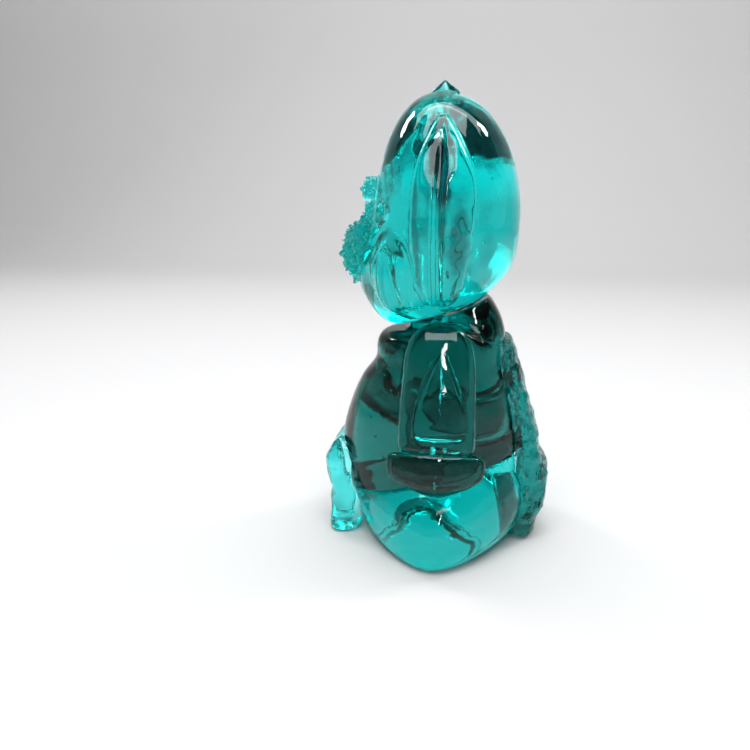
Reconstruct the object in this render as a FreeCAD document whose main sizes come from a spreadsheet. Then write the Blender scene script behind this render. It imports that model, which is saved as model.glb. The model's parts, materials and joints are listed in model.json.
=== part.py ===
"""A seated, long-eared art toy, cast in clear teal resin in separate pieces and joined with clear pins.

It faces -Y, +Z is up and +X is the toy's own left. The origin is the middle of its footprint, on the
surface that it sits on. The head turns on a pin in the neck, and each arm swings on a pin in its
shoulder. The other pieces are glued, with a thin glue line between them. Lengths are in millimetres.
"""

import os
import re

import FreeCAD
import Part
import Sketcher
from FreeCAD import Placement, Rotation, Vector

# Driving dimensions, one spreadsheet row each.
SIZES = {
    # fits
    "glue_line": 0.06,
    "running_gap": 0.06,
    "turning_gap": 0.4,
    # neck: the pin's axis stands this far behind the middle, and the head rests on a short stub
    "neck_offset": -2.0,
    "neck_pin_radius": 3.0,
    "neck_pin_bottom": 38.0,
    "neck_pin_top": 68.0,
    "neck_stub_radius": 5.0,
    "neck_stub_top": 55.6,
    "shoulder_line": 52.6,
    # nape: the trunk rises behind the head, and a ball-shaped hollow in it clears the head
    "nape_front": 7.0,
    "nape_ball_radius": 20.5,
    "nape_ball_height": 76.2,
    "nape_top": 61.4,
    "nape_half_width": 7.5,
    # shoulder joint: the flat inner face of the arm leans out by the splay
    "splay": 16.0,
    "shoulder_height": 48.4,
    "shoulder_offset": 1.2,
    "shoulder_out": 14.2,
    "shoulder_pin_radius": 2.0,
    "shoulder_pin_buried": 7.0,
    "shoulder_pin_out": 5.0,
    # arm and hand, measured from the shoulder pin along the arm
    "cuff_reach": 22.5,
    "hand_reach": 32.0,
    "sweep_depth": 30.0,
    "wrist_pin_radius": 1.5,
    "wrist_pin_length": 8.0,
    "wrist_pin_out": 3.4,
    # folded legs, with the knees out to the sides
    "knee_out": 28.8,
    "knee_offset": 1.2,
    "knee_half_flat": 3.0,
    "knee_round": 5.0,
    "leg_front": -20.4,
    "leg_front_width": 11.5,
    "leg_back": 22.4,
    "leg_back_width": 9.5,
    "leg_height": 19.5,
    "leg_round": 6.0,
    "hip_out": 17.0,
    "hip_back": 10.5,
    "hip_height": 15.0,
    "hip_radius": 10.5,
    "hip_pin_radius": 1.5,
    "hip_pin_length": 9.0,
    "hip_pin_height": 9.0,
    "hip_pin_middle": 16.8,
    # feet, standing on their heels in front, sole forwards
    "heel_front": -27.3,
    "sole_front": -26.6,
    "sole_height": 8.0,
    "toe_front": -28.3,
    "toe_height": 19.8,
    "tip_front": -27.4,
    "tip_shoulder": 22.4,
    "tip_back": -25.4,
    "tip_height": 25.0,
    "foot_back": -17.0,
    "foot_inner": 0.2,
    "foot_outer": 10.2,
    "foot_pin_radius": 1.2,
    "foot_pin_length": 6.0,
    "foot_pin_back": -18.6,
    "foot_pin_height": 11.0,
    "foot_pin_out": 4.5,
    # rough strip down the back
    "spine_half_width": 8.0,
    "spine_inner": 12.0,
    "spine_foot": 24.2,
    "spine_low": 1.2,
    "spine_heel": 27.7,
    "spine_heel_height": 8.0,
    "spine_rear": 28.3,
    "spine_rear_height": 17.0,
    "spine_waist": 25.6,
    "spine_waist_height": 25.0,
    "spine_blade": 21.9,
    "spine_blade_height": 37.5,
    "spine_neck": 18.0,
    "spine_top": 50.8,
    # ears: a leaf, the shape that two leaning ellipsoids share
    "ear_height": 80.6,
    "ear_half_height": 22.4,
    "ear_half_depth": 10.2,
    "ear_shift": 2.6,
    "ear_middle": 1.6,
    "ear_out": 18.2,
    "ear_half_thickness": 6.8,
    "ear_pin_radius": 1.5,
    "ear_pin_length": 6.0,
    "ear_pin_middle": 20.4,
    # face
    "muzzle_height": 71.2,
    "muzzle_middle": -13.4,
    "muzzle_half_width": 11.0,
    "muzzle_half_depth": 11.0,
    "muzzle_half_height": 9.4,
    "nose_height": 85.6,
    "nose_middle": -14.7,
    "nose_half_width": 4.6,
    "nose_half_depth": 5.0,
    "nose_half_height": 3.6,
    "eye_height": 80.5,
    "eye_out": 9.6,
    "eye_front": -15.2,
    "eye_radius": 3.0,
    "eye_dome_radius": 4.4,
    "eye_length": 4.4,
    # crest: a small tuft on a stem that is sunk into the crown
    "crest_low": 106.2,
    "crest_tall": 3.8,
    "crest_foot_radius": 3.2,
    "crest_tip_radius": 0.4,
    "crest_offset": 0.1,
    "stem_radius": 1.3,
    "stem_depth": 5.0,
}

# Level rings of each lofted casting: height, middle along Y, half-depth along Y, half-width along X.
RINGS = {
    "trunk": [
        (0.0, -0.5, 16.0, 13.0),
        (8.0, -0.8, 20.5, 16.4),
        (24.0, -1.2, 23.0, 18.4),
        (38.0, -0.8, 19.6, 16.0),
        (52.0, 1.0, 15.8, 13.0),
        (63.0, 0.4, 10.8, 9.4),
    ],
    "skull": [
        (53.4, -8.6, 2.4, 2.2),
        (54.2, -8.2, 5.2, 4.4),
        (55.8, -7.4, 8.2, 6.8),
        (58.2, -6.0, 11.8, 9.8),
        (61.5, -4.0, 15.2, 13.8),
        (66.9, -1.6, 18.0, 19.2),
        (74.0, 0.2, 18.0, 22.2),
        (83.4, 1.3, 17.0, 21.4),
        (92.4, 1.0, 15.2, 18.6),
        (100.4, 0.7, 12.0, 13.8),
        (104.6, 0.2, 8.4, 9.2),
        (107.2, -0.8, 3.0, 3.2),
    ],
    "arm": [
        (8.0, 0.0, 2.8, 2.4),
        (5.6, 0.0, 6.0, 5.0),
        (0.0, 0.0, 8.4, 7.0),
        (-10.0, 0.0, 8.5, 7.2),
        (-18.0, 0.0, 8.7, 7.2),
        (-22.5, 0.0, 9.0, 7.4),
    ],
    "hand": [
        (-22.6, 0.0, 10.6, 7.8),
        (-24.5, 0.0, 11.5, 8.2),
        (-28.0, 0.0, 8.8, 7.4),
        (-31.0, 0.0, 3.6, 4.2),
        (-31.9, 0.0, 1.0, 1.6),
    ],
}
RING_FIELDS = ("height", "middle", "half_depth", "half_width")

for form, rings in RINGS.items():
    for number, ring in enumerate(rings):
        for field, value in zip(RING_FIELDS, ring):
            SIZES[f"{form}_ring_{number}_{field}"] = value

# A cut that takes away less than this, in cubic millimetres, has failed.
LEAST_CUT = 0.01

doc = FreeCAD.newDocument("ArtToy")
sheet = doc.addObject("Spreadsheet::Sheet", "Sizes")
for row, (alias, value) in enumerate(SIZES.items(), start=1):
    sheet.set(f"A{row}", alias)
    sheet.set(f"B{row}", str(value))
    sheet.setAlias(f"B{row}", alias)
doc.recompute()


def on_sheet(expression):
    """An expression in the sheet's aliases, as another object has to write it."""
    return re.sub(r"[a-z_0-9]+", lambda word: f"Sizes.{word[0]}" if word[0] in SIZES else word[0], expression)


def bind(thing, **expressions):
    """Binds properties to the sheet. A double underscore stands for the dot in a property's path."""
    for path, expression in expressions.items():
        thing.setExpression(path.replace("__", "."), on_sheet(expression))
    return thing


def primitive(kind, name, turn=None, **expressions):
    """A Part primitive bound to the sheet, turned about its own origin if a Rotation is given."""
    thing = doc.addObject(f"Part::{kind}", name)
    if turn is not None:
        thing.Placement = Placement(Vector(), turn)
    return bind(thing, **expressions)


def ellipsoid(name, half_x, half_y, half_z, x="0", y="0", z="0"):
    """An ellipsoid with three half-axes, along X, Y and Z."""
    return primitive(
        "Ellipsoid",
        name,
        Radius2=half_x,
        Radius3=half_y,
        Radius1=half_z,
        Placement__Base__x=x,
        Placement__Base__y=y,
        Placement__Base__z=z,
    )


def cylinder(name, radius, length, x="0", y="0", z="0", turn=None):
    return primitive(
        "Cylinder",
        name,
        turn,
        Radius=radius,
        Height=length,
        Placement__Base__x=x,
        Placement__Base__y=y,
        Placement__Base__z=z,
    )


def box(name, low, high):
    """A box between two corners, each given as three expressions."""
    spans = {f"Placement__Base__{axis}": corner for axis, corner in zip("xyz", low)}
    for side, corner, far in zip(("Length", "Width", "Height"), low, high):
        spans[side] = f"({far}) - ({corner})"
    return primitive("Box", name, **spans)


def cut(name, base, *tools):
    result = doc.addObject("Part::Cut", name)
    result.Base = base
    result.Tool = tools[0] if len(tools) == 1 else fuse(f"{name}_tools", *tools)
    return result


def fuse(name, *pieces):
    result = doc.addObject("Part::MultiFuse", name)
    result.Shapes = list(pieces)
    return result


def common(name, *pieces):
    result = doc.addObject("Part::MultiCommon", name)
    result.Shapes = list(pieces)
    return result


def mirrored(name, source):
    """The same piece on the toy's other side."""
    result = doc.addObject("Part::Mirroring", name)
    result.Source = source
    result.Normal = Vector(1, 0, 0)
    return result


def casting(form, name, grown="0"):
    """A loft through a form's rings, all of them grown by the same amount."""
    rings = []
    for number, (_, _, half_depth, half_width) in enumerate(RINGS[form]):
        field = f"{form}_ring_{number}"
        deep = half_depth > half_width
        ring = primitive(
            "Ellipse",
            f"{name}_ring",
            Rotation(Vector(0, 0, 1), 90 if deep else 0),
            MajorRadius=f"{field}_{'half_depth' if deep else 'half_width'} + {grown}",
            MinorRadius=f"{field}_{'half_width' if deep else 'half_depth'} + {grown}",
            Placement__Base__y=f"{field}_middle",
            Placement__Base__z=f"{field}_height",
        )
        rings.append(ring)
    loft = doc.addObject("Part::Loft", name)
    loft.Sections = rings
    loft.Solid = True
    return loft


def padded_outline(name, plane_role, corners, length, midplane=False):
    """A body padded from a closed outline, whose corners are pairs of expressions on the plane."""
    body = doc.addObject("PartDesign::Body", f"{name}_body")
    sketch = body.newObject("Sketcher::SketchObject", f"{name}_outline")
    plane = next(item for item in body.Origin.OriginFeatures if item.Role == plane_role)
    sketch.AttachmentSupport = [(plane, "")]
    sketch.MapMode = "FlatFace"
    points = [Vector(sheet.evalExpression(across), sheet.evalExpression(up), 0) for across, up in corners]
    for start, end in zip(points, points[1:] + points[:1]):
        sketch.addGeometry(Part.LineSegment(start, end))
    for index in range(len(points)):
        before = (index - 1) % len(points)
        sketch.addConstraint(Sketcher.Constraint("Coincident", before, 2, index, 1))
    for index, corner in enumerate(corners):
        for kind, expression in zip(("DistanceX", "DistanceY"), corner):
            value = sheet.evalExpression(expression)
            held = sketch.addConstraint(Sketcher.Constraint(kind, -1, 1, index, 1, value))
            bind(sketch, **{f"Constraints[{held}]": expression})
    pad = body.newObject("PartDesign::Pad", f"{name}_pad")
    pad.Profile = sketch
    pad.Midplane = midplane
    bind(pad, Length=length)
    doc.recompute()
    return body


def rounded(body, name, radius, picks):
    """Rounds the edges of a body's last feature that the test picks."""
    base = body.Tip
    edges = [f"Edge{number}" for number, edge in enumerate(base.Shape.Edges, start=1) if picks(edge)]
    fillet = body.newObject("PartDesign::Fillet", name)
    fillet.Base = (base, edges)
    bind(fillet, Radius=radius)
    doc.recompute()
    return body


def height_span(edge):
    heights = [vertex.Point.z for vertex in edge.Vertexes]
    return min(heights), max(heights)


# Shoulder frame, on the toy's left: X runs outwards along the pin and Z runs up the arm.
SPLAY_TURN = Rotation(Vector(0, 1, 0), -sheet.evalExpression("splay"))
ALONG_X = Rotation(Vector(0, 1, 0), 90)
BACK_ALONG_Y = Rotation(Vector(1, 0, 0), -90)


def in_shoulder(piece, outwards="0", upwards="0", turn=Rotation()):
    """Moves a piece from the origin into the left shoulder, some way out along the pin and up the arm."""
    piece.Placement = Placement(Vector(), SPLAY_TURN * turn)
    out_x, out_z = "cos(splay * 1 deg)", "sin(splay * 1 deg)"
    return bind(
        piece,
        Placement__Base__x=f"shoulder_out + ({outwards}) * {out_x} - ({upwards}) * {out_z}",
        Placement__Base__y="shoulder_offset",
        Placement__Base__z=f"shoulder_height + ({outwards}) * {out_z} + ({upwards}) * {out_x}",
    )


nodes = {}


def node(name, piece):
    """Names a finished sub-part: its label is the name of its file."""
    piece.Label = name
    nodes[name] = piece
    return piece


def pair(name, left):
    """A sub-part of the left side and its mirror image on the right."""
    node(f"{name}_left", left)
    node(f"{name}_right", mirrored(f"{name}_right_form", left))


# The two large castings, and the same a glue line larger, which cut seats into what is glued on.
trunk_form = casting("trunk", "trunk_form")
trunk_seat = casting("trunk", "trunk_seat", grown="glue_line")
skull_form = casting("skull", "skull_form")
skull_seat = casting("skull", "skull_seat", grown="glue_line")

# The disc that a swinging arm sweeps, which nothing on the trunk may enter.
swept_disc = in_shoulder(
    cylinder("swept_disc", "hand_reach + turning_gap", "sweep_depth"), "-turning_gap", turn=ALONG_X
)
swept_disc_right = mirrored("swept_disc_right", swept_disc)

# Neck pin: a clear rod, glued into the trunk. The head turns on it.
node("neck_pin", cylinder("neck_rod", "neck_pin_radius", "neck_pin_top - neck_pin_bottom",
                          y="neck_offset", z="neck_pin_bottom"))
neck_socket = cylinder("neck_socket", "neck_pin_radius + glue_line", "neck_pin_top - neck_pin_bottom",
                       y="neck_offset", z="neck_pin_bottom - glue_line")
neck_bore = cylinder("neck_bore", "neck_pin_radius + running_gap",
                     "neck_pin_top - neck_pin_bottom + turning_gap", y="neck_offset", z="neck_pin_bottom")

# Shoulder pins: clear rods, glued into the trunk. The arms swing on them.
shoulder_pin = in_shoulder(
    cylinder("shoulder_rod", "shoulder_pin_radius", "shoulder_pin_buried + shoulder_pin_out"),
    "-shoulder_pin_buried",
    turn=ALONG_X,
)
pair("shoulder_pin", shoulder_pin)
shoulder_socket = in_shoulder(
    cylinder("shoulder_socket", "shoulder_pin_radius + glue_line", "shoulder_pin_buried + shoulder_pin_out"),
    "-shoulder_pin_buried - glue_line",
    turn=ALONG_X,
)
shoulder_socket_right = mirrored("shoulder_socket_right", shoulder_socket)

# Hip pins and foot pins: clear rods, half in the trunk and half in the leg or the foot.
HIP = dict(x="hip_pin_middle - hip_pin_length / 2", z="hip_pin_height", turn=ALONG_X)
pair("hip_pin", cylinder("hip_rod", "hip_pin_radius", "hip_pin_length", **HIP))
hip_socket = cylinder("hip_socket", "hip_pin_radius + glue_line", "hip_pin_length + 2 * glue_line", **HIP)
hip_socket.setExpression("Placement.Base.x", on_sheet("hip_pin_middle - hip_pin_length / 2 - glue_line"))
hip_socket_right = mirrored("hip_socket_right", hip_socket)
FOOT = dict(x="foot_pin_out", z="foot_pin_height", turn=BACK_ALONG_Y)
pair("foot_pin", cylinder("foot_rod", "foot_pin_radius", "foot_pin_length",
                          y="foot_pin_back - foot_pin_length", **FOOT))
foot_socket = cylinder("foot_socket", "foot_pin_radius + glue_line", "foot_pin_length + 2 * glue_line",
                       y="foot_pin_back - foot_pin_length - glue_line", **FOOT)
foot_socket_right = mirrored("foot_socket_right", foot_socket)

# Torso: the egg-shaped trunk, level at the shoulders, with a short neck stub and a nape that rises
# behind the head.
neck_stub = cylinder("neck_stub", "neck_stub_radius", "neck_stub_top - shoulder_line", y="neck_offset",
                     z="shoulder_line")
over_shoulders = box("over_shoulders", ("-knee_out", "-knee_out", "shoulder_line"),
                     ("knee_out", "nape_front", "neck_pin_top"))
over_stub = cut("over_stub", over_shoulders, neck_stub)
over_nape = box("over_nape", ("-knee_out", "-knee_out", "nape_top"), ("knee_out", "knee_out", "neck_pin_top"))
beside_nape = box("beside_nape", ("nape_half_width", "nape_front - 1", "shoulder_line"),
                  ("knee_out", "knee_out", "neck_pin_top"))
beside_nape_right = mirrored("beside_nape_right", beside_nape)
nape_hollow = primitive("Sphere", "nape_hollow", Radius="nape_ball_radius", Placement__Base__y="neck_offset",
                        Placement__Base__z="nape_ball_height")
torso = trunk_form
for tool in (
    nape_hollow, over_stub, over_nape, beside_nape, beside_nape_right, neck_socket, shoulder_socket,
    shoulder_socket_right, hip_socket, hip_socket_right, foot_socket, foot_socket_right, swept_disc,
    swept_disc_right,
):
    torso = cut("torso_form", torso, tool)
node("torso", torso)

# Spine: the rough strip down the back, one casting glued to the trunk.
spine_body = padded_outline(
    "spine",
    "YZ_Plane",
    [
        ("spine_inner", "spine_low"),
        ("spine_foot", "spine_low"),
        ("spine_heel", "spine_heel_height"),
        ("spine_rear", "spine_rear_height"),
        ("spine_waist", "spine_waist_height"),
        ("spine_blade", "spine_blade_height"),
        ("spine_neck", "spine_top"),
        ("spine_inner", "spine_top"),
    ],
    "2 * spine_half_width",
    midplane=True,
)
node("spine_strip", cut("spine_form", spine_body, trunk_seat))

# Legs: folded flat with the knee out, hollowed where the trunk, the spine and the hand come.
leg_body = padded_outline(
    "leg",
    "XY_Plane",
    [
        ("glue_line", "leg_front"),
        ("leg_front_width", "leg_front"),
        ("knee_out", "knee_offset - knee_half_flat"),
        ("knee_out", "knee_offset + knee_half_flat"),
        ("leg_back_width", "leg_back"),
        ("glue_line", "leg_back"),
    ],
    "leg_height",
)
knee_out = sheet.evalExpression("knee_out")
rounded(leg_body, "knee_round", "knee_round",
        lambda edge: height_span(edge)[0] < height_span(edge)[1] and edge.BoundBox.XMin > knee_out - 1)
leg_top = sheet.evalExpression("leg_height")
rounded(leg_body, "leg_round", "leg_round",
        lambda edge: edge.BoundBox.ZMin > leg_top - 1 and edge.BoundBox.XMax > knee_out / 2)
hip = ellipsoid("hip", "hip_radius", "hip_radius", "hip_radius", x="hip_out", y="hip_back", z="hip_height")
spine_seat = box("spine_seat", ("-spine_half_width - glue_line", "spine_inner", "0"),
                 ("spine_half_width + glue_line", "knee_out", "spine_top"))
leg_blank = common("leg_on_ground", fuse("leg_blank", leg_body, hip), box(
    "above_ground", ("0", "-knee_out", "0"), ("knee_out", "knee_out", "spine_top")))
pair("leg", cut("leg_form", leg_blank, trunk_seat, spine_seat, swept_disc, hip_socket))

# Feet: upright on their heels in front of the trunk, soles forwards.
foot_body = padded_outline(
    "foot",
    "YZ_Plane",
    [
        ("foot_back", "0"),
        ("heel_front", "0"),
        ("sole_front", "sole_height"),
        ("toe_front", "toe_height"),
        ("tip_front", "tip_shoulder"),
        ("tip_back", "tip_height"),
        ("foot_back", "tip_height"),
    ],
    "foot_outer - foot_inner",
)
bind(foot_body, Placement__Base__x="foot_inner")
leg_front_seat = box("leg_front_seat", ("0", "leg_front - glue_line", "0"),
                     ("knee_out", "knee_out", "leg_height"))
pair("foot", cut("foot_form", foot_body, trunk_seat, leg_front_seat, foot_socket))

# Arms: flat inside, rounded outside, bored for the shoulder pin and for the wrist pin.
inside_half = box("inside_half", ("-knee_out", "-knee_out", "-2 * hand_reach"),
                  ("0", "knee_out", "hand_reach"))
arm_bore = cylinder("arm_bore", "shoulder_pin_radius + running_gap", "shoulder_pin_out + turning_gap",
                    turn=ALONG_X)
wrist_socket = cylinder("wrist_socket", "wrist_pin_radius + glue_line", "wrist_pin_length + 2 * glue_line",
                        x="wrist_pin_out", z="-cuff_reach - wrist_pin_length / 2 - glue_line")
pair("arm", in_shoulder(cut("arm_form", casting("arm", "arm_casting"), inside_half, arm_bore, wrist_socket)))
pair("hand", in_shoulder(cut("hand_form", casting("hand", "hand_casting"), inside_half, wrist_socket)))
wrist_rod = cylinder("wrist_rod", "wrist_pin_radius", "wrist_pin_length")
pair("wrist_pin", in_shoulder(wrist_rod, "wrist_pin_out", "-cuff_reach - wrist_pin_length / 2"))

# Ears: leaves on the sides of the head, each on one pin.
leaf_sides = [
    ellipsoid(f"leaf_{side}", "ear_half_thickness", "ear_half_depth", "ear_half_height",
              x="ear_out", y=f"ear_middle {sign} ear_shift", z="ear_height")
    for side, sign in (("front", "-"), ("back", "+"))
]
EAR = dict(y="ear_middle", z="ear_height", turn=ALONG_X)
pair("ear_pin", cylinder("ear_rod", "ear_pin_radius", "ear_pin_length",
                         x="ear_pin_middle - ear_pin_length / 2", **EAR))
ear_socket = cylinder("ear_socket", "ear_pin_radius + glue_line", "ear_pin_length + 2 * glue_line",
                      x="ear_pin_middle - ear_pin_length / 2 - glue_line", **EAR)
ear_socket_right = mirrored("ear_socket_right", ear_socket)
pair("ear", cut("ear_form", common("ear_leaf", *leaf_sides), skull_seat, ear_socket))

# Face: a rough muzzle and nose on the front of the head, and two smooth domed eyes in shallow sockets.
node("muzzle", cut("muzzle_form", ellipsoid(
    "muzzle_ball", "muzzle_half_width", "muzzle_half_depth", "muzzle_half_height",
    y="muzzle_middle", z="muzzle_height"), skull_seat))
node("nose", cut("nose_form", ellipsoid(
    "nose_ball", "nose_half_width", "nose_half_depth", "nose_half_height",
    y="nose_middle", z="nose_height"), skull_seat))
EYE = dict(x="eye_out", y="eye_front", z="eye_height", turn=BACK_ALONG_Y)
eye_plug = cylinder("eye_plug", "eye_radius", "eye_length", **EYE)
eye_ball = primitive("Sphere", "eye_ball", Radius="eye_dome_radius", Placement__Base__x="eye_out",
                     Placement__Base__y="eye_front + eye_dome_radius", Placement__Base__z="eye_height")
pair("eye", common("eye_dome", eye_plug, eye_ball))
eye_socket = cylinder("eye_socket", "eye_radius + glue_line", "eye_length + glue_line", **EYE)
eye_socket_right = mirrored("eye_socket_right", eye_socket)

# Crest: a tuft that tapers to a point, with a stem sunk into the crown.
tuft = primitive("Cone", "tuft", Radius1="crest_foot_radius", Radius2="crest_tip_radius", Height="crest_tall",
                 Placement__Base__y="crest_offset", Placement__Base__z="crest_low")
stem = cylinder("stem", "stem_radius", "stem_depth + 1", y="crest_offset", z="crest_low - stem_depth")
node("crest", fuse("crest_form", tuft, stem))
tuft_seat = primitive("Cone", "tuft_seat", Radius1="crest_foot_radius + glue_line",
                      Radius2="crest_tip_radius + glue_line", Height="crest_tall + glue_line",
                      Placement__Base__y="crest_offset", Placement__Base__z="crest_low - glue_line")
stem_seat = cylinder("stem_seat", "stem_radius + glue_line", "stem_depth + 1",
                     y="crest_offset", z="crest_low - stem_depth - glue_line")

# Head: the large egg, with a level seat for the neck stub and a bore for the neck pin.
neck_seat = cylinder("neck_seat", "neck_stub_radius + 1", "nape_top - shoulder_line",
                     y="neck_offset", z="neck_stub_top + running_gap - nape_top + shoulder_line")
node("head", cut(
    "head_form", skull_form, neck_seat, neck_bore, ear_socket, ear_socket_right,
    eye_socket, eye_socket_right, tuft_seat, stem_seat,
))

doc.recompute()
failed = [item.Name for item in doc.Objects if {"Invalid", "Error"} & set(item.State)]
if failed:
    raise RuntimeError(f"these objects failed: {failed}")
idle = [item.Name for item in doc.Objects
        if item.TypeId == "Part::Cut" and item.Base.Shape.Volume - item.Shape.Volume < LEAST_CUT]
if idle:
    raise RuntimeError(f"these cuts removed nothing: {idle}")
for name, piece in nodes.items():
    shape = piece.Shape
    if shape.isNull() or not shape.isValid() or len(shape.Solids) != 1:
        raise RuntimeError(f"{name} isn't one sound solid: {len(shape.Solids)} solids")

os.makedirs("parts", exist_ok=True)
for name, piece in nodes.items():
    piece.Shape.exportStep(f"parts/{name}.step")
    extent = piece.Shape.BoundBox
    print(f"{name:20} {piece.Shape.Volume:9.1f} mm3  "
          f"x {extent.XMin:6.2f} {extent.XMax:6.2f}  y {extent.YMin:6.2f} {extent.YMax:6.2f}  "
          f"z {extent.ZMin:6.2f} {extent.ZMax:6.2f}")
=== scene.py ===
import json
import math

import bmesh
import bpy
from mathutils import Matrix, Vector, noise


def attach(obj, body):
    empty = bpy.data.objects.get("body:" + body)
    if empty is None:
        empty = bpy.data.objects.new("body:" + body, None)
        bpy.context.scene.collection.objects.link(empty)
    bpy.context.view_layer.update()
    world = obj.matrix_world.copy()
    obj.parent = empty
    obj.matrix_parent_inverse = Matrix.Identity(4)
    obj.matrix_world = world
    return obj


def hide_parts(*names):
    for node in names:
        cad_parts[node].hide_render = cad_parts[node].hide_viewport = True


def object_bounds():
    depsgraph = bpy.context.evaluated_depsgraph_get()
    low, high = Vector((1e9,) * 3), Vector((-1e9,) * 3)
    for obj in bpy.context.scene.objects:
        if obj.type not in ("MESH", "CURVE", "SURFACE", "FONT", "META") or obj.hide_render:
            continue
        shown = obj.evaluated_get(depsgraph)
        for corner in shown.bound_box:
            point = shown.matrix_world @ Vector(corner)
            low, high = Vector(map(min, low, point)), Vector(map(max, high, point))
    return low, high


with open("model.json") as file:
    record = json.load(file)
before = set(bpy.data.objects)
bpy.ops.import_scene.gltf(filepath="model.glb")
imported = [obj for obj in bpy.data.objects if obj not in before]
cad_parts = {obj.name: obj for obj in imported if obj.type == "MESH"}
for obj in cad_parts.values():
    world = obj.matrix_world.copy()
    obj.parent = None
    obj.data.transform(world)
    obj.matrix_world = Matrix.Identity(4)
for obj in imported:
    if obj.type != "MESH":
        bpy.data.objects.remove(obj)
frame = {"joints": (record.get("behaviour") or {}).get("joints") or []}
cad_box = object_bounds()


# Torso: an egg of teal resin with a neck stub and a nape that rises behind the head. Its resin is tinted
# deeper than the head's and legs', as painted shade. It is poured in a mould, so its edges are soft. Its
# flat sides lie against the arms, and it stands in the seat that the legs make. The clear pins that hold the
# other castings are glued in with resin, in which they vanish.
MM = 0.001
RESIN_IOR = 1.5
SURFACE_TINT = (0.96, 1.0, 1.0, 1.0)
# The colour of painted shade, mixed into the surface colour where a mask asks for it.
PAINTED_SHADE_COLOUR = (0.0, 0.05, 0.06, 1.0)
CLOUD_SCALE = 160.0
MIX_FACTOR, MIX_FIRST, MIX_SECOND, MIX_COLOUR = 0, 6, 7, 2


class Shade:
    """One output in a material's node tree. Sums and products of it add Math nodes."""

    def __init__(self, tree, socket=None):
        self.tree, self.socket = tree, socket

    def add(self, kind, settings=None, sockets=None, output=0):
        """Adds a node: its settings first, and then values or links for its sockets."""
        made = self.tree.nodes.new(f"ShaderNode{kind}")
        for name, setting in (settings or {}).items():
            setattr(made, name, setting)
        for name, value in (sockets or {}).items():
            if isinstance(value, Shade):
                self.tree.links.new(value.socket, made.inputs[name])
            else:
                made.inputs[name].default_value = value
        return Shade(self.tree, made.outputs[output])

    def math(self, operation, first, second):
        return self.add("Math", {"operation": operation}, {0: first, 1: second})

    def __add__(self, other):
        return self.math("ADD", self, other)

    def __mul__(self, other):
        return self.math("MULTIPLY", self, other)

    __radd__, __rmul__ = __add__, __mul__


def cast_resin(name, tint, density, least_rough, more_rough, bumps, painted_shade_mask=None):
    """Clear resin, tinted through its depth. A bump is a height in metres, a scale and a texture. A mask, if
    given, says how far painted shade darkens the surface colour at each place."""
    material = bpy.data.materials.new(name)
    material.use_nodes = True
    tree = material.node_tree
    tree.nodes.clear()
    start = Shade(tree)
    place = start.add("TexCoord", output="Object")
    cloud = start.add("TexNoise", sockets={"Vector": place, "Scale": CLOUD_SCALE, "Detail": 3.0})
    surface = {}
    for height, scale, texture in bumps:
        pattern = start.add(texture, sockets={"Vector": place, "Scale": scale})
        surface = {"Normal": start.add("Bump", sockets={"Height": pattern, "Distance": height, **surface})}
    sockets = {"Base Color": SURFACE_TINT, "IOR": RESIN_IOR, "Transmission Weight": 1.0}
    sockets["Roughness"] = cloud * more_rough + least_rough
    # Painted shade: the surface colour is darkened towards a dark teal where the mask says.
    if painted_shade_mask is not None:
        painted_shade = {MIX_FACTOR: painted_shade_mask(place), MIX_FIRST: SURFACE_TINT, MIX_SECOND: PAINTED_SHADE_COLOUR}
        sockets["Base Color"] = start.add("Mix", {"data_type": "RGBA"}, painted_shade, output=MIX_COLOUR)
    shader = start.add("BsdfPrincipled", sockets={**sockets, **surface})
    depth = start.add("VolumeAbsorption", sockets={"Color": (*tint, 1.0), "Density": density})
    output = tree.nodes.new("ShaderNodeOutputMaterial")
    tree.links.new(shader.socket, output.inputs["Surface"])
    tree.links.new(depth.socket, output.inputs["Volume"])
    return material


def ring_loft(rings, sides=24, corner=2.0, place=Matrix(), grow=0.0):
    """A closed form through level rings: height, out along X, middle along Y, half-width, half-depth.
    A corner of 2 makes ellipses, a larger one squares them and a smaller one sharpens four ridges."""
    form = bmesh.new()
    loops = []
    for height, out, middle, half_width, half_depth in rings:
        ring = bmesh.ops.create_circle(form, segments=sides, radius=1)["verts"]
        for vertex in ring:
            x, y = vertex.co.x, vertex.co.y
            reach = (abs(x) ** corner + abs(y) ** corner) ** (-1 / corner)
            across, along = half_width + grow, half_depth + grow
            vertex.co = (x * reach * across + out, y * reach * along + middle, height)
        loops.append(list({edge: None for vertex in ring for edge in vertex.link_edges}))
    for low, high in zip(loops, loops[1:]):
        bmesh.ops.bridge_loops(form, edges=low + high)
    caps = bmesh.ops.holes_fill(form, edges=loops[0] + loops[-1])["faces"]
    bmesh.ops.poke(form, faces=caps)
    bmesh.ops.recalc_face_normals(form, faces=form.faces)
    bmesh.ops.transform(form, matrix=Matrix.Scale(MM, 4) @ place, verts=form.verts)
    return form


def ball(centre, radii, subdivisions=4):
    """An ellipsoid, in millimetres."""
    form = bmesh.new()
    stretch = Matrix.Translation(Vector(centre) * MM) @ Matrix.Diagonal((*(r * MM for r in radii), 1))
    bmesh.ops.create_icosphere(form, subdivisions=subdivisions, radius=1, matrix=stretch)
    return form


def block(low, high):
    """A box between two corners, in millimetres."""
    form = bmesh.new()
    low, high = Vector(low) * MM, Vector(high) * MM
    size = Matrix.Diagonal((*(high - low), 1))
    bmesh.ops.create_cube(form, size=1, matrix=Matrix.Translation((low + high) / 2) @ size)
    return form


def mirrored(form):
    """The form's mirror image, for the toy's other side."""
    other = form.copy()
    bmesh.ops.transform(other, matrix=Matrix.Diagonal((-1, 1, 1, 1)), verts=other.verts)
    bmesh.ops.reverse_faces(other, faces=other.faces)
    return other


def both_sides(form):
    """The form for the toy's left, and its mirror image for the right."""
    return ("left", form), ("right", mirrored(form))


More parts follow.
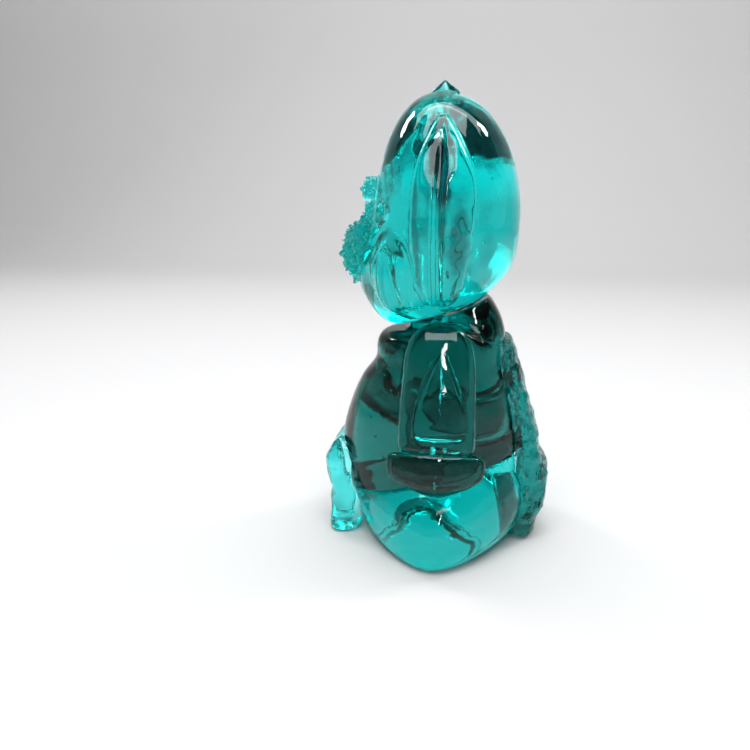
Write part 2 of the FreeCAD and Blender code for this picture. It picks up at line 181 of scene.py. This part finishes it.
def holder_of(form):
    """An object that holds a form, for a modifier to work on or with."""
    data = bpy.data.meshes.new("holder")
    form.to_mesh(data)
    holder = bpy.data.objects.new("holder", data)
    bpy.context.collection.objects.link(holder)
    return holder


def modified(form, *modifiers):
    """What some modifiers make of a form, each given as its kind and its settings."""
    holder = holder_of(form)
    form.free()
    for kind, settings in modifiers:
        modifier = holder.modifiers.new(kind, kind)
        for setting, value in settings.items():
            setattr(modifier, setting, value)
    mesh = bpy.data.meshes.new_from_object(holder.evaluated_get(bpy.context.evaluated_depsgraph_get()))
    bpy.data.meshes.remove(holder.data)
    made = bmesh.new()
    made.from_mesh(mesh)
    bpy.data.meshes.remove(mesh)
    return made


def softened(form, levels=2):
    """The form with its facets rounded off."""
    return modified(form, ("SUBSURF", {"levels": levels, "render_levels": levels}))


def carved(form, *tools):
    """What is left of a form when others are taken out of it."""
    for tool in tools:
        holder = holder_of(tool)
        cutting = {"object": holder, "operation": "DIFFERENCE", "solver": "MANIFOLD"}
        form = modified(form, ("BOOLEAN", cutting))
        bpy.data.meshes.remove(holder.data)
    return form


def main_part(skin):
    """Drops the crumbs that cutting leaves beside the main part of a skin."""
    unseen, parts = set(skin.verts), []
    for vertex in skin.verts:
        if vertex not in unseen:
            continue
        unseen.discard(vertex)
        part = [vertex]
        for reached in part:
            for edge in reached.link_edges:
                other = edge.other_vert(reached)
                if other in unseen:
                    unseen.discard(other)
                    part.append(other)
        parts.append(part)
    parts.sort(key=len)
    bmesh.ops.delete(skin, geom=[vertex for part in parts[:-1] for vertex in part], context="VERTS")
    return skin


def poured(forms, grain, relax, cuts=()):
    """One skin over overlapping forms, less the cuts, with faces the size of the grain and eased joins."""
    whole = bmesh.new()
    for form in forms:
        part = bpy.data.meshes.new("part")
        form.to_mesh(part)
        whole.from_mesh(part)
        bpy.data.meshes.remove(part)
    remesh = ("REMESH", {"mode": "VOXEL", "voxel_size": grain * MM})
    skin = carved(modified(whole, remesh), *cuts)
    return main_part(modified(skin, remesh, ("SMOOTH", {"factor": 0.5, "iterations": relax})))


def surface_points(skin):
    """Each corner of a skin with its normal, taken before any of them moves."""
    skin.normal_update()
    return [(vertex, vertex.normal.copy()) for vertex in skin.verts]


def rippled(skin, height, width):
    """Gives a skin the slow ripples of a hand-made mould, of some height and width in millimetres."""
    for vertex, normal in surface_points(skin):
        vertex.co += normal * noise.noise(vertex.co / (width * MM)) * height * MM


def fitted(name, skin, material, body, nodes, smooth=True):
    """Makes a skin a piece of the toy: its finish and the body that it rides on. The nodes that it stands
    for are hidden.
    """
    for vertex in skin.verts:
        vertex.co = [min(max(at, low), high) for at, low, high in zip(vertex.co, *cad_box)]
    for face in skin.faces:
        face.smooth = smooth
    data = bpy.data.meshes.new(name)
    skin.to_mesh(data)
    skin.free()
    data.materials.append(material)
    piece = bpy.data.objects.new(name, data)
    bpy.context.collection.objects.link(piece)
    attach(piece, body)
    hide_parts(*nodes)


# The pin of each arm: its place, the way that it points out of the shoulder and the disc that turns on it.
swing = next(joint for joint in frame["joints"] if joint["name"] == "left_arm_swing")
PIN = Vector(swing["pos_m"]) / MM
OUTWARDS = -Vector(swing["axis"])
SHOULDER = Matrix.Translation(PIN) @ Matrix.Rotation(-math.asin(OUTWARDS.z), 4, "Y")
GLUE = 0.15
SWEEP_RADIUS, SWEEP_GAP, SWEEP_DEPTH = 32.4, 0.4, 30.0
swept_disc = bmesh.new()
bmesh.ops.create_cone(
    swept_disc,
    cap_ends=True,
    segments=128,
    radius1=SWEEP_RADIUS * MM,
    radius2=SWEEP_RADIUS * MM,
    depth=SWEEP_DEPTH * MM,
    matrix=Matrix.Scale(MM, 4) @ SHOULDER @ Matrix.Translation((SWEEP_DEPTH / 2 - SWEEP_GAP, 0, 0))
    @ Matrix.Scale(1 / MM, 4) @ Matrix.Rotation(math.radians(90), 4, "Y"),
)
swept_discs = [swept_disc, mirrored(swept_disc)]

# Painted shade: the same teal resin as the head and legs, tinted deeper so that the torso and sleeves read
# dark.
painted_shade_resin = cast_resin(
    "painted_shade_resin", tint=(0.0, 0.86, 0.85), density=340.0, least_rough=0.0, more_rough=0.03,
    bumps=[(0.0003, 75.0, "TexNoise"), (0.00002, 700.0, "TexNoise")],
)
TORSO = [
    (0.1, 0, -0.5, 13.5, 16.5),
    (3.0, 0, -0.4, 15.2, 18.8),
    (8.0, 0, -0.3, 17.0, 21.2),
    (17.0, 0, -0.8, 18.6, 23.2),
    (24.0, 0, -1.3, 18.6, 23.5),
    (31.4, 0, -1.3, 18.6, 22.2),
    (38.0, 0, -0.8, 18.2, 19.9),
    (43.0, 0, -0.2, 17.4, 17.8),
    (46.0, 0, 0.5, 16.8, 16.2),
    (49.0, 0, 0.7, 16.0, 16.4),
    (51.6, 0, 0.9, 14.4, 15.6),
    (52.5, 0, 0.9, 11.0, 13.0),
]
shoulder = ball((9.2, 2.4, 48.8), (6.4, 9.0, 6.4))
nape = ring_loft([
    (44.0, 0, 8.0, 9.0, 7.5),
    (51.0, 0, 8.0, 10.4, 8.4),
    (54.0, 0, 7.8, 9.0, 7.8),
    (56.6, 0, 7.6, 7.4, 7.1),
    (59.5, 0, 7.4, 6.8, 5.6),
    (61.2, 0, 7.6, 5.6, 4.4),
], corner=3.0)
neck = ring_loft([(48.0, 0, -2.0, 6.5, 6.5), (52.4, 0, -2.0, 5.6, 5.6), (55.5, 0, -2.0, 4.9, 4.9)])
head_hollow = ball((0, -2.0, 76.2), (20.6, 20.6, 20.6))
SEAT_FRONT, SEAT_RISE = (0.0, -15.0, 13.3), math.radians(16.5)


def seat_form(gap=0.0):
    """All that lies under the slope that the torso stands on, which rises to the back."""
    slope = Matrix.Scale(MM, 4) @ Matrix.Translation(SEAT_FRONT) @ Matrix.Rotation(SEAT_RISE, 4, "X")
    form = block((-60, -60, -60), (60, 60, gap))
    bmesh.ops.transform(form, matrix=slope @ Matrix.Scale(1 / MM, 4), verts=form.verts)
    return form


bust = [softened(ring_loft(TORSO)), softened(nape), softened(neck), shoulder, mirrored(shoulder)]
torso = poured(bust, grain=0.45, relax=4, cuts=[*swept_discs, head_hollow, seat_form(GLUE)])


def swell(at, middle, reach):
    """1 in the middle of a span, easing to 0 at its ends."""
    return max(0.0, 1 - ((at - middle) / reach) ** 2) ** 2


# A shallow fold under the collar runs across the breast.
FOLD_DEPTH, FOLD_HEIGHT, FOLD_REACH, FOLD_HALF_WIDTH = 0.5, 44.6, 4.0, 15.0
for vertex, normal in surface_points(torso):
    x, y, z = vertex.co / MM
    if normal.y < -0.2:
        fold = swell(z, FOLD_HEIGHT, FOLD_REACH) * swell(x, 0, FOLD_HALF_WIDTH) ** 0.5
        vertex.co -= normal * FOLD_DEPTH * fold * MM
rippled(torso, height=0.2, width=9.0)


def bubbled(skin, places, radius):
    """Leaves small air bubbles in a casting, on both sides of the toy: closed skins that face inwards."""
    for x, y, z in places:
        for side in (-1, 1):
            centre = Matrix.Translation(Vector((x * side, y, z)) * MM)
            bubble = bmesh.ops.create_icosphere(skin, subdivisions=2, radius=radius * MM, matrix=centre)
            faces = {face: None for vertex in bubble["verts"] for face in vertex.link_faces}
            bmesh.ops.reverse_faces(skin, faces=list(faces))


bubbled(torso, [
    (10.5, -11.6, 22.4), (12.0, 14.4, 24.2), (13.0, -7.3, 27.2), (9.0, 13.5, 33.7), (5.0, -14.0, 30.5),
    (7.5, 9.0, 40.2), (3.5, -9.0, 36.8), (11.0, 4.0, 30.0), (2.5, 13.0, 28.3),
], radius=0.34)
fitted("torso_casting", torso, painted_shade_resin, "trunk", [
    "torso", "neck_pin", "shoulder_pin_left", "shoulder_pin_right", "hip_pin_left", "hip_pin_right",
    "foot_pin_left", "foot_pin_right",
])

# Spine: a rough strip down the back, as it broke from its mould, of the same resin tinted deeper still, as
# painted shade. Its faces are left sharp, and it is glued along the torso.
BREAKS = [(0.0004, 500.0, "TexVoronoi"), (0.0002, 1500.0, "TexNoise")]
# Painted shade: the same resin with a denser tint, so that the strip reads darker.
spine_painted_shade_resin = cast_resin(
    "spine_painted_shade_resin", tint=(0.0, 0.85, 0.84), density=480.0, least_rough=0.02, more_rough=0.10, bumps=BREAKS,
)

# Noise vectors start from the clock unless they are given a seed.
NOISE_SEED = 3
noise.seed_set(NOISE_SEED)
FINE_WIDTH = 0.31


def broken(skin, depth, width, fine=0.0):
    """Breaks a skin into facets: it moves each corner some way, in millimetres, with a fine grain on top."""
    for vertex in skin.verts:
        moved = noise.noise_vector(vertex.co / (width * MM)) * depth
        vertex.co += (moved + noise.noise_vector(vertex.co / (FINE_WIDTH * MM)) * fine) * MM
    bmesh.ops.triangulate(skin, faces=skin.faces)
    return skin


SPINE_INNER, SPINE_HALF_WIDTH = 12.0, 7.6
SPINE_REAR = [
    (1.2, 24.9), (5.7, 25.8), (8.1, 27.4), (12.0, 27.8), (17.0, 28.0), (19.6, 27.5), (21.7, 26.2),
    (25.0, 25.3), (28.4, 24.9), (32.2, 23.6), (37.4, 21.8), (43.7, 20.0), (48.7, 18.4), (50.8, 17.6),
]
spine_form = ring_loft([
    (height, 0, (rear + SPINE_INNER) / 2, SPINE_HALF_WIDTH, (rear - SPINE_INNER) / 2)
    for height, rear in SPINE_REAR
], sides=32, corner=5.0)
spine = poured([spine_form], grain=0.8, relax=1)
broken(spine, depth=0.6, width=2.6, fine=0.14)
spine = main_part(carved(spine, softened(ring_loft(TORSO, grow=0.04))))
fitted("spine_casting", spine, spine_painted_shade_resin, "trunk", ["spine_strip"], smooth=False)

# Legs: two smooth castings of the same resin with a paler tint, as painted light, folded with the knees out.
# They meet under the torso as its seat and lap round it from spine to feet. Their tops are hollowed so that
# the hands pass over them.
# Painted light: the same resin given a paler, thinner tint, so that the head, legs, feet and eyes read
# bright.
PAINTED_LIGHT_RESIN = {
    "tint": (0.0, 0.958, 0.950), "density": 120.0, "least_rough": 0.0, "more_rough": 0.03,
    "bumps": [(0.00035, 75.0, "TexNoise"), (0.00002, 700.0, "TexNoise")],
}
polished_painted_light_resin = cast_resin("polished_painted_light_resin", **PAINTED_LIGHT_RESIN)


def lap_form(grow=0.0):
    """Both legs and the lap between them, as one form."""
    return softened(ring_loft([
        (-0.6, 0, 0.4, 26.0, 16.6),
        (1.0, 0, 0.6, 28.4, 19.0),
        (4.0, 0, 1.2, 29.0, 21.4),
        (8.0, 0, 1.4, 29.0, 22.8),
        (12.0, 0, 1.8, 28.2, 22.8),
        (16.0, 0, 3.0, 25.4, 21.0),
        (19.5, 0, 5.4, 20.6, 17.2),
        (22.4, 0, 8.4, 14.0, 12.0),
    ], sides=32, corner=1.5, grow=grow))


TORSO_CLEARANCE = GLUE + 0.15
leg = poured([lap_form(), softened(ring_loft(TORSO))], grain=0.45, relax=5, cuts=[
    block((-40, -40, -5), (40, 40, 0)),
    block((-40, -40, -5), (GLUE / 2, 40, 60)),
    block((-20, SPINE_INNER, -5), (SPINE_HALF_WIDTH + GLUE, 40, 60)),
    carved(softened(ring_loft(TORSO, grow=TORSO_CLEARANCE)), seat_form()),
    swept_discs[0],
])
rippled(leg, height=0.12, width=12.0)

# A faint upright crease marks each knee.
KNEE_SIDE, KNEE_DEPTH = 20.0, 0.15
for vertex in leg.verts:
    x, y, z = vertex.co / MM
    if x > KNEE_SIDE:
        vertex.co.x -= KNEE_DEPTH * swell(y, 0.6, 1.6) * swell(z, 8, 12) * MM
for side, skin in both_sides(leg):
    fitted(f"leg_casting_{side}", skin, polished_painted_light_resin, "trunk", [f"leg_{side}"])

# Feet: small upright castings that stand on their heels in front, with the rough facets of a broken mould,
# each glued to the torso and the leg on a short pin.
foot = poured([ring_loft([
    (0.05, 5.2, -23.1, 3.6, 3.7),
    (1.5, 5.2, -23.2, 4.3, 4.2),
    (4.4, 5.2, -23.0, 4.6, 3.9),
    (11.7, 5.2, -22.9, 4.6, 3.8),
    (15.3, 5.2, -23.2, 4.8, 4.2),
    (18.1, 5.2, -23.4, 5.0, 4.6),
    (19.8, 5.2, -23.5, 5.0, 4.7),
    (21.5, 5.2, -23.2, 4.7, 4.2),
    (23.3, 5.2, -22.8, 3.9, 3.6),
    (24.8, 5.2, -21.9, 2.4, 2.6),
], corner=2.6)], grain=0.7, relax=2, cuts=[softened(ring_loft(TORSO, grow=TORSO_CLEARANCE)), lap_form(GLUE)])
broken(foot, depth=0.5, width=4.2)
# The feet take the pale painted-light resin.
for side, skin in both_sides(foot):
    fitted(f"foot_casting_{side}", skin, polished_painted_light_resin, "trunk", [f"foot_{side}"],
           smooth=False)

# Arms: each is a sleeve that hangs flat against the torso on its shoulder pin, hollowed on its inner face
# under a pointed arch, and a wedge-shaped hand glued below its cuff on a pin.
SLEEVE = [
    (8.0, 1.2, 0, 1.4, 2.4),
    (6.6, 2.6, 0, 2.6, 5.2),
    (3.0, 3.2, 0, 3.3, 7.6),
    (-3.0, 3.5, 0, 3.5, 8.4),
    (-12.0, 3.6, 0, 3.6, 8.7),
    (-20.0, 3.7, 0, 3.7, 8.9),
    (-22.4, 3.7, 0, 3.6, 8.8),
]
HAND = [
    (-21.9, 3.9, 0, 3.9, 10.9),
    (-23.0, 4.1, 0, 4.1, 11.5),
    (-26.8, 4.1, 0, 4.1, 11.5),
    (-28.8, 3.8, 0, 3.8, 9.4),
    (-30.7, 3.0, 0, 2.9, 5.2),
    (-32.0, 2.4, 0, 1.6, 1.4),
]
arch = softened(ring_loft([
    (0.8, 0, 0.4, 0.5, 0.3),
    (-3.0, 0, 0.3, 1.5, 2.4),
    (-8.0, 0, 0.2, 2.1, 4.4),
    (-14.0, 0, 0.3, 2.4, 5.8),
    (-19.4, 0, 0.5, 2.4, 6.4),
], place=SHOULDER))


def sleeve_form(grow=0.0):
    return softened(ring_loft(SLEEVE, corner=2.6, place=SHOULDER, grow=grow))


sleeve = poured([sleeve_form()], grain=0.3, relax=3, cuts=[arch])
rippled(sleeve, height=0.12, width=6.0)
hand_form = softened(ring_loft(HAND, corner=1.7, place=SHOULDER))
hand = poured([hand_form], grain=0.3, relax=2, cuts=[sleeve_form(GLUE)])
# Painted shade: the same resin tinted deepest of all, so that the hands and the crest read darkest.
hand_painted_shade_resin = cast_resin(
    "hand_painted_shade_resin", tint=(0.0, 0.84, 0.83), density=620.0, least_rough=0.0, more_rough=0.03,
    bumps=[(0.0003, 120.0, "TexNoise")],
)
# The sleeves take the torso's painted-shade resin.
for side, turn in (("left", bmesh.types.BMesh.copy), ("right", mirrored)):
    fitted(f"sleeve_casting_{side}", turn(sleeve), painted_shade_resin, f"{side}_arm",
           [f"arm_{side}", f"wrist_pin_{side}"])
    fitted(f"hand_casting_{side}", turn(hand), hand_painted_shade_resin, f"{side}_arm", [f"hand_{side}"])

# Head: one large smooth egg with a pair of jowls, and with long leaf-shaped ears laid down its sides, each
# with a crease down its middle. It turns on the neck pin. Eyes and crest sit in sockets in it.
skull = ring_loft([
    (53.5, 0, -10.0, 1.4, 1.4),
    (54.3, 0, -8.9, 4.4, 4.8),
    (56.2, 0, -7.4, 7.2, 8.6),
    (59.0, 0, -4.6, 10.8, 13.4),
    (62.5, 0, -3.5, 14.8, 16.5),
    (67.0, 0, -1.9, 19.4, 18.6),
    (72.0, 0, -0.3, 22.2, 18.6),
    (77.5, 0, 1.0, 22.4, 17.5),
    (83.0, 0, 1.3, 21.6, 17.2),
    (88.0, 0, 1.2, 20.3, 16.5),
    (92.5, 0, 1.0, 18.5, 15.4),
    (97.0, 0, 0.8, 15.9, 13.8),
    (101.0, 0, 0.5, 12.9, 11.8),
    (104.7, 0, 0.0, 9.0, 8.5),
    (106.8, 0, -0.7, 4.8, 4.6),
    (107.5, 0, -1.0, 1.6, 1.6),
])
jowl = ball((12.0, -9.6, 67.6), (6.2, 5.6, 9.2))
cheek = ball((14.6, -5.4, 69.6), (5.6, 6.4, 10.4))
ear = softened(ring_loft([
    (60.5, 16.4, 0.6, 1.4, 3.0),
    (63.0, 18.0, 0.6, 2.8, 4.9),
    (68.0, 20.0, 0.8, 3.4, 5.9),
    (74.0, 21.2, 1.1, 3.8, 6.6),
    (80.0, 21.4, 1.3, 3.9, 7.3),
    (85.0, 21.0, 1.5, 3.9, 7.5),
    (90.0, 19.8, 1.3, 3.7, 6.6),
    (95.0, 17.8, 1.0, 3.3, 4.8),
    (99.0, 15.8, 0.8, 2.7, 2.9),
    (102.2, 13.8, 0.6, 1.6, 1.2),
], corner=1.5))


def eye_form(grow=0.0):
    return ball((9.4, -12.0, 80.5), [3.0 + grow] * 3)


def crest_forms(grow=0.0):
    """A tuft of two low wings and a pointed ridge, and the stem that holds it in the crown."""
    tuft = [
        (105.9, 0, 0.2, 1.5, 2.9),
        (107.5, 0, 0.2, 1.5, 3.3),
        (108.3, 0, 0.1, 1.2, 2.4),
        (109.2, 0, 0.0, 0.8, 1.2),
        (110.0, 0, 0.0, 0.3, 0.3),
    ]
    stem = [(101.4, 0, 0.1, 1.1, 1.1), (106.5, 0, 0.1, 1.4, 1.4)]
    return [ring_loft(tuft, corner=1.2, grow=grow), ring_loft(stem, grow=grow)]


head_forms = [softened(skull), jowl, mirrored(jowl), cheek, mirrored(cheek), ear, mirrored(ear)]


# Patches of painted shade in the ears: middle along Y and up, half-depth, half-height and strength.
PAINTED_SHADE_PATCHES = [(0.0, 91.5, 3.6, 7.5, 0.9), (1.6, 84.0, 1.3, 10.0, 0.55), (5.0, 76.0, 2.4, 9.5, 0.85)]


def ear_painted_shade(place):
    """Painted shade in the ears: a dark patch below each tip and broken dark marks on the back half."""
    stir = place.add("TexNoise", sockets={"Vector": place, "Scale": 260.0, "Detail": 2.0}) * 1.1
    along, up = (place.add("SeparateXYZ", sockets={0: place}, output=axis) for axis in "YZ")
    painted_shade = 0.0
    for y, z, deep, tall, strength in PAINTED_SHADE_PATCHES:
        across = (along + -y * MM) * (1 / (deep * MM))
        above = (up + -z * MM) * (1 / (tall * MM))
        far = place.math("SQRT", across * across + above * above, 0.0)
        painted_shade = painted_shade + place.add("MapRange", {"interpolation_type": "SMOOTHSTEP"}, {
            "Value": far + stir, "From Min": 1.1, "From Max": 1.9, "To Min": strength, "To Max": 0.0,
        })
    return place.math("MINIMUM", painted_shade, 1.0)


# Painted light and painted shade: the head takes the pale painted-light tint, with dark patches of painted
# shade in its ears.
head_painted_light_and_shade_resin = cast_resin("head_painted_light_and_shade_resin", **PAINTED_LIGHT_RESIN, painted_shade_mask=ear_painted_shade)
eye_sockets = [eye_form(GLUE), mirrored(eye_form(GLUE))]
head = poured(head_forms, grain=0.4, relax=6, cuts=[*eye_sockets, *crest_forms(GLUE)])

# A shallow line is drawn round each jowl. Each ear has a crease from tip to foot, a hollow near its tip and
# tool marks on its back half, and an air pocket is caught behind its tip.
for vertex, normal in surface_points(head):
    x, y, z = vertex.co / MM
    if abs(x) > 9 and abs(normal.x) > 0.2:
        crease = 0.75 * swell(z, 81, 25) ** 0.25 * swell(y, 0.5, 1.7)
        hollow = 1.3 * swell(z, 93, 8) * swell(y, 0.2, 4.2)
        marks = 0.9 * swell(z, 76, 11) * swell(y, 4.6, 4.2) * noise.noise(vertex.co / (3.2 * MM))
        line = 0.18 * swell(math.hypot((y + 9.8) / 4.7, (z - 66.8) / 9.8), 1.0, 0.2) * (y < -4.5)
        vertex.co -= normal * (crease + hollow + marks + line) * MM
rippled(head, height=0.22, width=8.0)
pocket = ring_loft([
    (86.5, 17.6, 0.2, 0.5, 0.8),
    (89.0, 17.6, 0.2, 0.9, 2.1),
    (92.5, 16.9, 0.3, 0.9, 2.3),
    (95.5, 15.8, 0.3, 0.7, 1.6),
    (98.0, 14.8, 0.3, 0.3, 0.5),
])
head = carved(head, pocket, mirrored(pocket))
bubbled(head, [(12.0, -9.0, 70.0), (14.0, 9.0, 75.0), (9.0, -6.0, 62.5), (12.0, 10.5, 88.0)], radius=0.3)
fitted("head_casting", head, head_painted_light_and_shade_resin, "head", [
    "head", "ear_left", "ear_right", "ear_pin_left", "ear_pin_right",
])

# Eyes: smooth domes, each in a round socket.
# They take the pale painted-light resin.
for side, skin in both_sides(eye_form()):
    fitted(f"eye_dome_{side}", skin, polished_painted_light_resin, "head", [f"eye_{side}"])

# Muzzle and nose: two rough nubs on the front of the head, covered in small sharp points like sugar, of
# the same resin. Each is glued in place.
nub_resin = cast_resin(
    "nub_resin", tint=(0.0, 0.88, 0.87), density=480.0, least_rough=0.02, more_rough=0.06, bumps=BREAKS,
)
NUB_CLEARANCE = GLUE + 0.2
head_seat = poured(head_forms, grain=0.6, relax=6)
for vertex, normal in surface_points(head_seat):
    vertex.co += normal * NUB_CLEARANCE * MM


def sugared(form, points):
    """Covers a form with sharp points, up to some height in millimetres."""
    for vertex, normal in surface_points(form):
        peak = abs(noise.noise(vertex.co / (0.95 * MM))) * 2.6 - 0.45
        vertex.co += normal * peak * points * MM
    return broken(form, depth=0.22, width=0.42)


snout_forms = [ball((0, -13.4, 71.2), (10.6, 10.4, 9.0)), ball((0, -14.4, 79.6), (3.8, 4.2, 4.0))]
snout = poured(snout_forms, grain=0.42, relax=2)
nose = ball((0, -14.7, 85.8), (4.3, 4.5, 2.9), subdivisions=5)
for name, form, points in (("muzzle", snout, 1.0), ("nose", nose, 0.6)):
    nub = main_part(carved(sugared(form, points), head_seat))
    fitted(f"{name}_casting", nub, nub_resin, "head", [name], smooth=False)

# Crest: a small tuft on the crown, set in on a stem.
crest = poured(crest_forms(), grain=0.2, relax=1)
# The crest takes the hands' painted-shade resin.
fitted("crest_casting", crest, hand_painted_shade_resin, "head", ["crest"])


# Studio: a pale sweep that runs from the table up into a wall, one large soft lamp overhead, two strip
# lamps for the highlights, one on the wall, a slim one by the camera and a dim room for the resin to mirror.
def studio_surface(name, grey, roughness):
    paint = bpy.data.materials.new(name)
    paint.use_nodes = True
    shader = paint.node_tree.nodes["Principled BSDF"]
    shader.inputs["Base Color"].default_value = (grey, grey, grey * 1.01, 1)
    shader.inputs["Roughness"].default_value = roughness
    return paint


# In metres. The floor lies a hair under the toy, so that the two surfaces don't coincide.
FLOOR = -0.00015
FLOOR_HALF, FLOOR_FRONT = 1.2, 0.3
WALL_BACK, WALL_TURN, WALL_TOP = -0.75, 0.25, 1.4
sweep_mesh = bmesh.new()
floor_steps = (FLOOR_HALF, FLOOR_FRONT, WALL_BACK + WALL_TURN)
profile = [sweep_mesh.verts.new((x, -FLOOR_HALF, FLOOR)) for x in floor_steps]
profile += [
    sweep_mesh.verts.new((
        WALL_BACK + WALL_TURN - WALL_TURN * math.sin(angle),
        -FLOOR_HALF,
        FLOOR + WALL_TURN - WALL_TURN * math.cos(angle),
    ))
    for angle in (math.radians(step) for step in range(10, 91, 10))
]
profile.append(sweep_mesh.verts.new((WALL_BACK, -FLOOR_HALF, WALL_TOP)))
edges = [sweep_mesh.edges.new(ends) for ends in zip(profile, profile[1:])]
grown = bmesh.ops.extrude_edge_only(sweep_mesh, edges=edges)
bmesh.ops.translate(
    sweep_mesh,
    verts=[item for item in grown["geom"] if isinstance(item, bmesh.types.BMVert)],
    vec=(0, 2 * FLOOR_HALF, 0),
)
bmesh.ops.recalc_face_normals(sweep_mesh, faces=sweep_mesh.faces)
sweep_data = bpy.data.meshes.new("studio_sweep")
sweep_mesh.to_mesh(sweep_data)
sweep_mesh.free()
sweep_data.shade_smooth()
sweep_data.materials.append(studio_surface("studio_paper", grey=0.62, roughness=0.9))
sweep = bpy.data.objects.new("studio_sweep", sweep_data)
bpy.context.collection.objects.link(sweep)


def soft_lamp(name, at, aim, width, height, watts):
    """A rectangular soft light, aimed at a point. Places and sizes are in metres."""
    data = bpy.data.lights.new(name, "AREA")
    data.shape = "RECTANGLE"
    data.size, data.size_y, data.energy = width, height, watts
    lamp = bpy.data.objects.new(name, data)
    lamp.location = at
    lamp.rotation_euler = (Vector(aim) - Vector(at)).to_track_quat("-Z", "Y").to_euler()
    bpy.context.collection.objects.link(lamp)


soft_lamp("overhead_lamp", (0.12, 0.0, 0.52), (0, 0, 0.08), 0.42, 0.5, 2.8)
soft_lamp("wall_lamp", (-0.25, 0.0, 0.95), (WALL_BACK, 0, 0.3), 1.4, 0.3, 4.0)
soft_lamp("front_strip", (-0.28, -0.40, 0.45), (0, 0, 0.09), 0.05, 0.17, 0.6)
soft_lamp("rear_strip", (-0.20, 0.38, 0.52), (0, 0, 0.09), 0.05, 0.17, 0.6)
soft_lamp("window_lamp", (0.52, 0.02, 0.38), (0, 0, 0.07), 0.04, 0.26, 0.7)

# The room: pale walls to above head height and a dim ceiling.
world = bpy.data.worlds.new("room")
bpy.context.scene.world = world
world.use_nodes = True
room = Shade(world.node_tree)
outlook = room.add("TexCoord", output="Generated")
height = room.add("SeparateXYZ", sockets={0: outlook}, output="Z")
walls = room.add("MapRange", {"interpolation_type": "SMOOTHSTEP"}, {
    "Value": height, "From Min": 0.18, "From Max": 0.42, "To Min": 0.42, "To Max": 0.09,
})
world.node_tree.links.new(walls.socket, world.node_tree.nodes["Background"].inputs["Color"])
scene = bpy.context.scene
scene.view_settings.view_transform = "Standard"
scene.view_settings.look = "Medium High Contrast"
scene.cycles.max_bounces = 24
scene.cycles.transmission_bounces = 20
scene.cycles.glossy_bounces = 8

# Camera: a hand's length from the toy's left side, looking a little down on it.
camera_data = bpy.data.cameras.new("camera")
camera_data.lens = 36.1
camera_data.sensor_width = 36.0
camera_data.clip_start = 0.01
camera = bpy.data.objects.new("camera", camera_data)
camera.location = (0.18345, 0.01111, 0.08943)
heading, dip = math.radians(8.477), math.radians(15.0)
looking = Vector((-math.cos(heading) * math.cos(dip), -math.sin(heading) * math.cos(dip), -math.sin(dip)))
camera.rotation_euler = looking.to_track_quat("-Z", "Y").to_euler()
bpy.context.collection.objects.link(camera)
scene.camera = camera
